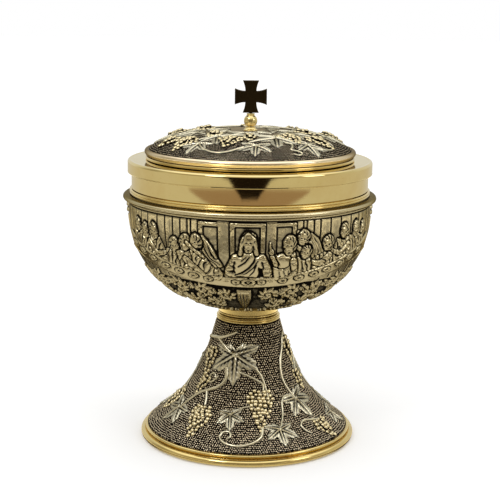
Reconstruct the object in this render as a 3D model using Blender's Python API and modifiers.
"""A covered ciborium: a cast foot, a turned collar, a gilt cup in a cast casing, and a lift-off lid.

The frame is +Z up, in metres, with the origin at the centre of the foot's underside. -Y is the front.
Everything is turned about Z and stacked, so each level is worked out from the piece below it.
"""

import math

import bmesh
import bpy

# Gaps between pieces that touch.
GAP = 0.0003
THREAD_GAP = 0.0003

# Facets around a large piece, a middling one and a small one.
LARGE_SIDES = 48
RING_SIDES = 36
SMALL_SIDES = 16
ARC_STEPS = 3
SHARP_ANGLE = math.radians(35.0)
WELD = 0.00001
SLOPE_STEP = 0.0001

# Foot: a cast trumpet on a turned rim.
FOOT_RADIUS = 0.05635
FOOT_HEIGHT = 0.0619
FOOT_NECK_RADIUS = 0.0163
FOOT_WALL = 0.0018
FOOT_PLATE = 0.0022
FOOT_FLARE_SHARE = 0.57
FOOT_FLARE_POWER = 3.5
FOOT_STEPS = 8
FOOT_RIM_HEIGHT = 0.0056
FOOT_RIM_WIDTH = 0.0059
FOOT_BEAD_RADIUS = 0.0016
FOOT_TOP_BEAD_RADIUS = 0.0008
FOOT_TOP_BEAD_INSET = 0.0023
FOOT_LEDGE_INSET = 0.0036

# The rod that pulls foot, collar and bowl together, and what tightens it.
ROD_RADIUS = 0.0030
ROD_CHAMFER = 0.0005
ROD_TAIL = 0.0030
NUT_WALL = 0.0025
NUT_HEIGHT = 0.0048
LOCK_WASHER_WIDTH = 0.0026
LOCK_WASHER_THICKNESS = 0.0010
FOOT_WASHER_WIDTH = 0.0070
FOOT_WASHER_THICKNESS = 0.0016

# Collar between foot and bowl.
COLLAR_RADIUS = 0.0154
COLLAR_HEIGHT = 0.0045
COLLAR_BEAD = 0.0006
COLLAR_WALL = 0.0026
BASE_RING_HEIGHT = 0.0029
BASE_RING_STEP = 0.0012
BASE_RING_GROOVE = 0.0005
# Share of the base ring's height, and of its groove's depth, down its outer side.
BASE_RING_SHAPE = ((0.90, 1.0), (0.73, 0.0), (0.50, 1.0), (0.30, 0.0), (0.10, 0.0), (0.0, 1.0))

# Bowl casing: a squarish hollow half-round with a moulded rim.
CASING_RADIUS = 0.0616
CASING_DEPTH = 0.0542
CASING_WALL = 0.0016
CASING_FLOOR = 0.0022
CASING_BOSS_DEPTH = 0.0010
BOWL_SQUARENESS = 2.35
BOWL_STEPS = 8
RIM_OVERHANG = 0.0034
RIM_HEIGHT = 0.0040
RIM_NECK = 0.0008
RIM_ROUND = 0.0012
RIM_TOP_INSET = 0.0024
RIM_TOP_DROP = 0.0018

# Cup: the gilt liner, whose mouth stands above the casing as a plain band.
CUP_AIR = 0.0012
CUP_WALL = 0.0010
CUP_BAND_STEP = 0.0018
CUP_BAND_HEIGHT = 0.0129
CUP_BOSS_RADIUS = 0.0070
CUP_BOSS_HEIGHT = 0.0060
CUP_BOSS_ROOF = 0.0010
SPACER_WIDTH = 0.0080
SPACER_THICKNESS = 0.0015
BEAD_RING_HEIGHT = 0.0025
BEAD_RING_STEP = 0.0008

# Lid: a flanged pan with a guide ring under it and a cast dome on it.
LID_RUNNING_GAP = 0.0004
LID_SKIRT_WALL = 0.0016
LID_SKIRT_HEIGHT = 0.0053
LID_PLATE = 0.0014
LID_EDGE_ROUND = 0.0013
GUIDE_WALL = 0.0013
GUIDE_HEIGHT = 0.0051
SHOULDER_WIDTH = 0.0084
STEP_RING_INSET = 0.0008
STEP_RING_WIDTH = 0.0030
STEP_RING_HEIGHT = 0.0014
DOME_RIM_HEIGHT = 0.0031
DOME_RIM_WIDTH = 0.0024
DOME_RISE = 0.0090
DOME_FULLNESS = 3.6
DOME_STEPS = 7
DOME_WALL = 0.0016
DOME_LAND_RADIUS = 0.0042

# Finial: a seat, a ball and a cross, held by a stud with a cap nut inside the lid.
STUD_RADIUS = 0.0015
SEAT_RADIUS = 0.0036
SEAT_NECK_RADIUS = 0.0026
SEAT_HEIGHT = 0.0021
SEAT_EDGE_HEIGHT = 0.0005
SEAT_FLARE_HEIGHT = 0.0012
BALL_RADIUS = 0.00345
BALL_FOOT_RADIUS = 0.0024
BALL_NECK_RADIUS = 0.0021
BALL_NECK_HEIGHT = 0.0011
STUD_ENTRY = 0.0024
TANG_RADIUS = 0.0009
TANG_LENGTH = 0.0024
TANG_IN_CROSS = 0.0041
CROSS_SPAN = 0.0163
CROSS_ARM_WIDTH = 0.0057
CROSS_END_WIDTH = 0.0082
CROSS_THICKNESS = 0.0026
CROSS_CORNER = 0.0007
CROSS_FLARE_STEPS = 5
CAP_NUT_WALL = 0.0016
CAP_NUT_HEIGHT = 0.0026
CAP_NUT_ROOF = 0.0010
LID_WASHER_WIDTH = 0.0032
LID_WASHER_THICKNESS = 0.0008

# Finishes as colour, roughness.
GILT = ((0.80, 0.60, 0.28), 0.12)
ANTIQUED = ((0.42, 0.38, 0.27), 0.38)
DARK_BRONZE = ((0.06, 0.045, 0.02), 0.30)
STEEL = ((0.55, 0.55, 0.56), 0.35)
TURNED_BRASS = ((0.62, 0.47, 0.22), 0.30)


def clear_scene():
    for old in list(bpy.data.objects):
        bpy.data.objects.remove(old, do_unlink=True)


def new_collection(name):
    collection = bpy.data.collections.new(name)
    bpy.context.scene.collection.children.link(collection)
    return collection


def finish_for(name, finish):
    """A metal of the given colour and roughness, kept as this part's own."""
    colour, roughness = finish
    material = bpy.data.materials.new(name)
    material.use_nodes = True
    shader = material.node_tree.nodes["Principled BSDF"]
    shader.inputs["Base Color"].default_value = (*colour, 1.0)
    shader.inputs["Metallic"].default_value = 1.0
    shader.inputs["Roughness"].default_value = roughness
    return material


def evaluated_mesh(obj):
    graph = bpy.context.evaluated_depsgraph_get()
    return bpy.data.meshes.new_from_object(obj.evaluated_get(graph))


def add_screw(obj, sides):
    screw = obj.modifiers.new("Turn", "SCREW")
    screw.axis = "Z"
    screw.angle = 2.0 * math.pi
    screw.screw_offset = 0.0
    screw.steps = sides
    screw.render_steps = sides
    screw.use_merge_vertices = True
    screw.merge_threshold = WELD


def turned(name, profile, finish, sides, closed=True):
    """A piece turned about Z. The profile runs down its outer side and back up its inner side."""
    mesh = bpy.data.meshes.new(name)
    points = [(radius, 0.0, z) for radius, z in profile]
    edges = [(i, i + 1) for i in range(len(points) - 1)]
    if closed:
        edges.append((len(points) - 1, 0))
    mesh.from_pydata(points, edges, [])
    obj = bpy.data.objects.new(name, mesh)
    parts.objects.link(obj)
    add_screw(obj, sides)
    turned_mesh = evaluated_mesh(obj)
    obj.modifiers.clear()
    obj.data = turned_mesh
    turned_mesh.name = name
    turned_mesh.shade_smooth()
    turned_mesh.set_sharp_from_angle(angle=SHARP_ANGLE)
    turned_mesh.materials.append(finish_for(name, finish))


def tube(name, inner, outer, bottom, top, finish, sides):
    profile = [(inner, top), (outer, top), (outer, bottom), (inner, bottom)]
    turned(name, profile, finish, sides)


def arc(centre_radius, centre_z, radius, start, end, steps=ARC_STEPS):
    """Points on a round of the profile, with angles in degrees up from the outward direction."""
    points = []
    for i in range(steps + 1):
        angle = math.radians(start + (end - start) * i / steps)
        points.append((centre_radius + radius * math.cos(angle), centre_z + radius * math.sin(angle)))
    return points


def prism(name, radius, bottom, top, sides, collection):
    """An upright prism on the Z axis, in the given collection only."""
    bpy.ops.mesh.primitive_cylinder_add(
        vertices=sides, radius=radius, depth=top - bottom, location=(0.0, 0.0, (top + bottom) / 2.0)
    )
    obj = bpy.context.object
    obj.name = name
    for old in list(obj.users_collection):
        old.objects.unlink(obj)
    collection.objects.link(obj)
    return obj


def helper(name, radius, bottom, top):
    """A prism that only cuts or joins others."""
    obj = prism(name, radius, bottom, top, SMALL_SIDES, cutters)
    obj.hide_render = True
    obj.display_type = "WIRE"
    return obj


def add_boolean(obj, other, operation):
    boolean = obj.modifiers.new(operation.title(), "BOOLEAN")
    boolean.operation = operation
    boolean.object = other


def hex_nut(name, bore, wall, bottom, top, bore_bottom, finish):
    """A hexagon nut whose flats stand a wall's width clear of its bore, drilled up from bore_bottom."""
    corner = (bore + wall) / math.cos(math.pi / 6.0)
    nut = prism(name, corner, bottom, top, 6, parts)
    nut.data.materials.append(finish_for(name, finish))
    add_boolean(nut, helper(name + "_bore", bore, bore_bottom, top + wall), "DIFFERENCE")


def foot_radius_at(z):
    """The cast foot's outer radius: a cone near the collar that flares out towards its rim."""
    share = (FOOT_HEIGHT - z) / (FOOT_HEIGHT - foot_shell_bottom)
    spread = (1.0 - FOOT_FLARE_SHARE) * share + FOOT_FLARE_SHARE * share**FOOT_FLARE_POWER
    return FOOT_NECK_RADIUS + (foot_edge_radius - FOOT_NECK_RADIUS) * spread


def foot_slope_at(z):
    return (foot_radius_at(z - SLOPE_STEP) - foot_radius_at(z + SLOPE_STEP)) / (2.0 * SLOPE_STEP)


def bowl_radius_at(z, top, radius, depth):
    """The radius at z of a hollow half-round whose mouth is at top."""
    share = min(1.0, max(0.0, (top - z) / depth))
    return radius * (1.0 - share**BOWL_SQUARENESS) ** (1.0 / BOWL_SQUARENESS)


def bowl_curve(top, radius, depth, end_radius):
    """Points down the half-round from its mouth to where it has narrowed to end_radius."""
    end_share = 1.0 - (end_radius / radius) ** BOWL_SQUARENESS
    end_z = top - depth * end_share ** (1.0 / BOWL_SQUARENESS)
    points = []
    for i in range(BOWL_STEPS + 1):
        turn = math.sin(0.5 * math.pi * i / BOWL_STEPS)
        z = top + (end_z - top) * turn
        points.append((bowl_radius_at(z, top, radius, depth), z))
    return points


def dome_curve(base, rise, radius, inner_radius):
    """Points up the dome from its edge to inner_radius."""
    points = []
    for i in range(DOME_STEPS + 1):
        r = radius + (inner_radius - radius) * i / DOME_STEPS
        points.append((r, base + rise * (1.0 - (r / radius) ** DOME_FULLNESS)))
    return points


def make_foot():
    """The cast trumpet, with a drilled plate at its neck for the rod."""
    levels = [
        FOOT_HEIGHT + (foot_shell_bottom - FOOT_HEIGHT) * math.sin(0.5 * math.pi * i / FOOT_STEPS)
        for i in range(FOOT_STEPS + 1)
    ]
    outer = [(foot_radius_at(z), z) for z in levels]
    inside_top = FOOT_HEIGHT - FOOT_PLATE
    inner = []
    for z in reversed(levels[1:]):
        if z < inside_top:
            wall = FOOT_WALL * math.hypot(1.0, foot_slope_at(z))
            inner.append((foot_radius_at(z) - wall, z))
    inner.append((foot_radius_at(inside_top) - FOOT_WALL, inside_top))
    profile = [(rod_hole, FOOT_HEIGHT)] + outer + inner + [(rod_hole, inside_top)]
    turned("foot_shell", profile, ANTIQUED, LARGE_SIDES)


def make_foot_rim():
    """The turned ring that the foot stands on, with a full bead and a small one above it."""
    inner = FOOT_RADIUS - FOOT_RIM_WIDTH
    bead = FOOT_BEAD_RADIUS
    small = FOOT_TOP_BEAD_RADIUS
    small_centre = FOOT_RADIUS - FOOT_TOP_BEAD_INSET - small
    profile = [(inner, FOOT_RIM_HEIGHT)]
    profile += arc(small_centre, FOOT_RIM_HEIGHT - small, small, 90.0, -60.0)
    profile += arc(FOOT_RADIUS - bead, bead, bead, 70.0, -90.0)
    profile.append((inner, 0.0))
    turned("foot_rim_ring", profile, GILT, LARGE_SIDES)


def make_foot_fastening():
    """Washer, lock washer and nut under the foot's plate, and the rod that they tighten."""
    bore = ROD_RADIUS + THREAD_GAP
    washer_top = FOOT_HEIGHT - FOOT_PLATE - GAP
    washer_bottom = washer_top - FOOT_WASHER_THICKNESS
    tube("foot_washer", bore, bore + FOOT_WASHER_WIDTH, washer_bottom, washer_top, TURNED_BRASS, SMALL_SIDES)
    lock_top = washer_bottom - GAP
    lock_bottom = lock_top - LOCK_WASHER_THICKNESS
    tube("foot_lock_washer", bore, bore + LOCK_WASHER_WIDTH, lock_bottom, lock_top, STEEL, SMALL_SIDES)
    nut_top = lock_bottom - GAP
    nut_bottom = nut_top - NUT_HEIGHT
    hex_nut("foot_nut", bore, NUT_WALL, nut_bottom, nut_top, nut_bottom - NUT_WALL, STEEL)
    top = boss_bottom + CUP_BOSS_HEIGHT - CUP_BOSS_ROOF - GAP
    bottom = nut_bottom - ROD_TAIL
    profile = [
        (0.0, top),
        (ROD_RADIUS - ROD_CHAMFER, top),
        (ROD_RADIUS, top - ROD_CHAMFER),
        (ROD_RADIUS, bottom + ROD_CHAMFER),
        (ROD_RADIUS - ROD_CHAMFER, bottom),
        (0.0, bottom),
    ]
    turned("tie_rod", profile, STEEL, SMALL_SIDES, closed=False)


def make_collar():
    """The grooved base ring on the foot, and the collar that carries the bowl."""
    outer = COLLAR_RADIUS + BASE_RING_STEP
    profile = [(rod_hole, base_ring_top), (COLLAR_RADIUS, base_ring_top)]
    for height_share, groove_share in BASE_RING_SHAPE:
        radius = outer - groove_share * BASE_RING_GROOVE
        profile.append((radius, base_ring_bottom + height_share * BASE_RING_HEIGHT))
    profile.append((rod_hole, base_ring_bottom))
    turned("collar_base_ring", profile, GILT, RING_SIDES)
    inner = COLLAR_RADIUS - COLLAR_WALL
    bead = COLLAR_BEAD
    profile = [(inner, collar_top)]
    profile += arc(COLLAR_RADIUS, collar_top - bead, bead, 90.0, -90.0)
    profile.append((COLLAR_RADIUS, collar_bottom + 2.0 * bead))
    profile += arc(COLLAR_RADIUS - 0.5 * bead, collar_bottom + bead, bead, 60.0, -90.0)
    profile.append((inner, collar_bottom))
    turned("collar", profile, GILT, RING_SIDES)


def make_casing():
    """The cast casing: a flat boss on the collar, the half-round wall and the moulded rim."""
    boss_radius = COLLAR_RADIUS + COLLAR_BEAD
    wall = bowl_curve(casing_mouth, CASING_RADIUS, CASING_DEPTH, boss_radius + CASING_BOSS_DEPTH)
    rim_radius = CASING_RADIUS + RIM_OVERHANG
    round_centre = rim_radius - RIM_ROUND
    rim_low = casing_mouth + RIM_NECK + RIM_ROUND
    inner_radius = CASING_RADIUS - CASING_WALL
    floor_radius = rod_hole + SPACER_WIDTH + CUP_AIR
    profile = [(inner_radius, casing_top)]
    profile.append((rim_radius - RIM_TOP_INSET, casing_top))
    profile += arc(round_centre, casing_top - RIM_TOP_DROP, RIM_ROUND, 70.0, 0.0)
    profile += arc(round_centre, rim_low, RIM_ROUND, 0.0, -80.0)
    profile.append((CASING_RADIUS + RIM_NECK, casing_mouth + RIM_NECK))
    profile += wall
    profile.append((boss_radius, casing_bottom))
    profile.append((rod_hole, casing_bottom))
    profile.append((rod_hole, casing_floor))
    profile.append((floor_radius, casing_floor))
    inside = bowl_curve(casing_mouth, inner_radius, casing_mouth - casing_floor, floor_radius)
    profile += reversed(inside)
    turned("bowl_casing", profile, ANTIQUED, LARGE_SIDES)


def make_cup():
    """The gilt cup. Its band steps out over the bead ring, which it rests on."""
    band_inner = band_radius - CUP_WALL
    outer = bowl_curve(casing_mouth, cup_radius, casing_mouth - cup_bottom, CUP_BOSS_RADIUS)
    inner_depth = casing_mouth - cup_bottom - CUP_WALL
    inner = bowl_curve(casing_mouth, cup_radius - CUP_WALL, inner_depth, CUP_BOSS_RADIUS)
    lip = 0.5 * CUP_WALL
    profile = [(0.0, inner[-1][1])]
    profile += reversed(inner)
    profile += [(cup_radius - CUP_WALL, band_bottom + CUP_WALL), (band_inner, band_bottom + CUP_WALL)]
    profile += arc(band_radius - lip, cup_lip - lip, lip, 180.0, 0.0)
    profile += [(band_radius, band_bottom), (cup_radius, band_bottom)]
    profile += outer
    profile.append((0.0, outer[-1][1]))
    turned("cup", profile, GILT, LARGE_SIDES, closed=False)
    top = boss_bottom + CUP_BOSS_HEIGHT
    bore = ROD_RADIUS + THREAD_GAP
    bore_top = top - CUP_BOSS_ROOF
    profile = [
        (0.0, top),
        (CUP_BOSS_RADIUS, top),
        (CUP_BOSS_RADIUS, boss_bottom),
        (bore, boss_bottom),
        (bore, bore_top),
        (0.0, bore_top),
    ]
    turned("cup_boss", profile, TURNED_BRASS, SMALL_SIDES, closed=False)
    spacer_bottom = casing_floor + GAP
    spacer_top = spacer_bottom + SPACER_THICKNESS
    tube("spacer_washer", bore, bore + SPACER_WIDTH, spacer_bottom, spacer_top, TURNED_BRASS, SMALL_SIDES)


def make_bead_ring():
    """The gilt ring of two beads between the casing's rim and the cup's band."""
    inner = cup_radius + GAP
    bead = 0.25 * BEAD_RING_HEIGHT
    outer = band_radius + BEAD_RING_STEP
    profile = [(inner, bead_ring_top)]
    profile += arc(outer - bead, bead_ring_top - bead, bead, 90.0, -60.0)
    profile += arc(outer - 0.5 * bead, bead_ring_bottom + bead, bead, 60.0, -90.0)
    profile.append((inner, bead_ring_bottom))
    turned("cup_bead_ring", profile, GILT, LARGE_SIDES)


def make_lid_pan():
    """The gilt pan: a skirt over the cup's lip, a rounded edge and a drilled plate."""
    edge = LID_EDGE_ROUND
    profile = [(stud_hole, pan_top)]
    profile += arc(pan_radius - edge, pan_top - edge, edge, 90.0, 0.0)
    profile += [
        (pan_radius, skirt_bottom),
        (skirt_inner, skirt_bottom),
        (skirt_inner, pan_under),
        (stud_hole, pan_under),
    ]
    turned("lid_pan", profile, GILT, LARGE_SIDES)
    guide_outer = band_radius - CUP_WALL - LID_RUNNING_GAP
    guide_top = pan_under - GAP
    guide_bottom = guide_top - GUIDE_HEIGHT
    tube("lid_guide_ring", guide_outer - GUIDE_WALL, guide_outer, guide_bottom, guide_top, GILT, LARGE_SIDES)


def make_lid_dome():
    """The step ring, and the cast dome with a half-round rim and a flat land for the finial."""
    step_outer = dome_radius - STEP_RING_INSET
    step_top = pan_top + GAP + STEP_RING_HEIGHT
    step_inner = step_outer - STEP_RING_WIDTH
    tube("lid_step_ring", step_inner, step_outer, pan_top + GAP, step_top, GILT, LARGE_SIDES)
    field_radius = dome_radius - DOME_RIM_WIDTH
    inner_radius = field_radius - DOME_WALL
    rim_round = 0.5 * DOME_RIM_HEIGHT
    outer = dome_curve(dome_field, DOME_RISE, field_radius, DOME_LAND_RADIUS)
    inner = dome_curve(dome_field - DOME_WALL, DOME_RISE, inner_radius, DOME_LAND_RADIUS)
    profile = [(stud_hole, dome_top)]
    profile += reversed(outer)
    profile += arc(dome_radius - rim_round, dome_bottom + rim_round, rim_round, 90.0, -90.0)
    profile.append((inner_radius, dome_bottom))
    profile += inner
    profile.append((stud_hole, dome_top - DOME_WALL))
    turned("lid_dome", profile, ANTIQUED, LARGE_SIDES)


def make_finial():
    """Seat, ball and stud. The ball takes the stud from below and the cross's tang from above."""
    seat_top = seat_bottom + SEAT_HEIGHT
    profile = [
        (stud_hole, seat_top),
        (SEAT_NECK_RADIUS, seat_top),
        (SEAT_NECK_RADIUS, seat_bottom + SEAT_FLARE_HEIGHT),
        (SEAT_RADIUS, seat_bottom + SEAT_EDGE_HEIGHT),
        (SEAT_RADIUS, seat_bottom),
        (stud_hole, seat_bottom),
    ]
    turned("finial_seat", profile, GILT, SMALL_SIDES)
    tang_hole = TANG_RADIUS + THREAD_GAP
    top_angle = math.degrees(math.acos(BALL_NECK_RADIUS / BALL_RADIUS))
    low_angle = -math.degrees(math.acos(BALL_FOOT_RADIUS / BALL_RADIUS))
    profile = [
        (0.0, ball_top - TANG_LENGTH - GAP),
        (tang_hole, ball_top - TANG_LENGTH - GAP),
        (tang_hole, ball_top),
        (BALL_NECK_RADIUS, ball_top),
    ]
    profile += arc(0.0, ball_centre, BALL_RADIUS, top_angle, low_angle, 2 * ARC_STEPS)
    profile += [
        (stud_hole, ball_bottom),
        (stud_hole, ball_bottom + STUD_ENTRY),
        (0.0, ball_bottom + STUD_ENTRY),
    ]
    turned("finial_ball", profile, GILT, SMALL_SIDES, closed=False)
    top = ball_bottom + STUD_ENTRY - GAP
    bottom = cap_bore_bottom + GAP
    profile = [(0.0, top), (STUD_RADIUS, top), (STUD_RADIUS, bottom), (0.0, bottom)]
    turned("finial_stud", profile, STEEL, SMALL_SIDES, closed=False)


def cross_outline():
    """Corners and flares of a cross with four arms that widen to flat ends."""
    reach = 0.5 * CROSS_SPAN
    waist = 0.5 * CROSS_ARM_WIDTH
    end = 0.5 * CROSS_END_WIDTH
    corner = waist + CROSS_CORNER
    flare = []
    for i in range(CROSS_FLARE_STEPS):
        share = 1.0 - i / CROSS_FLARE_STEPS
        flare.append((waist + (end - waist) * share**2, corner + (reach - corner) * share))
    quarter = flare + arc(corner, corner, CROSS_CORNER, 180.0, 270.0)
    quarter += [(along, across) for across, along in reversed(flare)]
    outline = []
    for turn in range(4):
        angle = -0.5 * math.pi * turn
        for x, y in quarter:
            outline.append(
                (x * math.cos(angle) - y * math.sin(angle), x * math.sin(angle) + y * math.cos(angle))
            )
    return outline


def weld_mesh(mesh):
    """Joins a converted curve's loose caps to its sides."""
    work = bmesh.new()
    work.from_mesh(mesh)
    bmesh.ops.remove_doubles(work, verts=work.verts, dist=WELD)
    bmesh.ops.recalc_face_normals(work, faces=work.faces)
    work.to_mesh(mesh)
    work.free()


def make_cross():
    """The flat cross, facing front and back, on a tang that screws into the ball."""
    curve = bpy.data.curves.new("cross_outline", "CURVE")
    curve.dimensions = "2D"
    curve.fill_mode = "BOTH"
    curve.extrude = 0.5 * CROSS_THICKNESS
    outline = cross_outline()
    spline = curve.splines.new("POLY")
    spline.points.add(len(outline) - 1)
    for point, (x, y) in zip(spline.points, outline):
        point.co = (x, y, 0.0, 1.0)
    spline.use_cyclic_u = True
    shape = bpy.data.objects.new("cross_outline", curve)
    shape.rotation_euler = (math.pi / 2.0, 0.0, 0.0)
    shape.location = (0.0, 0.0, cross_bottom + 0.5 * CROSS_SPAN)
    parts.objects.link(shape)
    bpy.context.view_layer.update()
    mesh = evaluated_mesh(shape)
    cross = bpy.data.objects.new("finial_cross", mesh)
    cross.matrix_world = shape.matrix_world.copy()
    bpy.data.objects.remove(shape, do_unlink=True)
    weld_mesh(mesh)
    parts.objects.link(cross)
    mesh.materials.clear()
    mesh.materials.append(finish_for("finial_cross", DARK_BRONZE))
    tang = helper("cross_tang", TANG_RADIUS, ball_top - TANG_LENGTH, cross_bottom + TANG_IN_CROSS)
    add_boolean(cross, tang, "UNION")


def make_lid_fastening():
    """The washer and the cap nut under the pan, with no thread end left open to the cup."""
    bore = stud_hole
    washer_bottom = cap_nut_top + GAP
    washer_top = washer_bottom + LID_WASHER_THICKNESS
    tube("lid_washer", bore, bore + LID_WASHER_WIDTH, washer_bottom, washer_top, GILT, SMALL_SIDES)
    hex_nut("lid_nut", bore, CAP_NUT_WALL, cap_nut_top - CAP_NUT_HEIGHT, cap_nut_top, cap_bore_bottom, GILT)


clear_scene()
parts = new_collection("ciborium")
cutters = new_collection("cutters")

rod_hole = ROD_RADIUS + THREAD_GAP
stud_hole = STUD_RADIUS + THREAD_GAP

# Levels, from the table up.
foot_shell_bottom = FOOT_RIM_HEIGHT + GAP
foot_edge_radius = FOOT_RADIUS - FOOT_LEDGE_INSET
base_ring_bottom = FOOT_HEIGHT + GAP
base_ring_top = base_ring_bottom + BASE_RING_HEIGHT
collar_bottom = base_ring_top + GAP
collar_top = collar_bottom + COLLAR_HEIGHT
casing_bottom = collar_top + GAP
casing_floor = casing_bottom + CASING_FLOOR
casing_mouth = casing_bottom + CASING_DEPTH
casing_top = casing_mouth + RIM_HEIGHT
boss_bottom = casing_floor + GAP + SPACER_THICKNESS + GAP
cup_bottom = boss_bottom + CUP_BOSS_HEIGHT + GAP
bead_ring_bottom = casing_top + GAP
bead_ring_top = bead_ring_bottom + BEAD_RING_HEIGHT
band_bottom = bead_ring_top + GAP
cup_lip = band_bottom + CUP_BAND_HEIGHT
pan_under = cup_lip + GAP
pan_top = pan_under + LID_PLATE
skirt_bottom = pan_top - LID_EDGE_ROUND - LID_SKIRT_HEIGHT
dome_bottom = pan_top + GAP + STEP_RING_HEIGHT + GAP
dome_field = dome_bottom + DOME_RIM_HEIGHT
dome_top = dome_field + DOME_RISE
seat_bottom = dome_top + GAP
ball_bottom = seat_bottom + SEAT_HEIGHT + GAP
ball_centre = ball_bottom + math.sqrt(BALL_RADIUS**2 - BALL_FOOT_RADIUS**2)
ball_top = ball_centre + math.sqrt(BALL_RADIUS**2 - BALL_NECK_RADIUS**2) + BALL_NECK_HEIGHT
cross_bottom = ball_top + GAP
cap_nut_top = pan_under - GAP - LID_WASHER_THICKNESS - GAP
cap_bore_bottom = cap_nut_top - CAP_NUT_HEIGHT + CAP_NUT_ROOF

# Radii that follow the casing.
cup_radius = CASING_RADIUS - CASING_WALL - CUP_AIR
band_radius = cup_radius + CUP_BAND_STEP
skirt_inner = band_radius + LID_RUNNING_GAP
pan_radius = skirt_inner + LID_SKIRT_WALL
dome_radius = pan_radius - SHOULDER_WIDTH

make_foot()
make_foot_rim()
make_foot_fastening()
make_collar()
make_casing()
make_cup()
make_bead_ring()
make_lid_pan()
make_lid_dome()
make_finial()
make_cross()
make_lid_fastening()
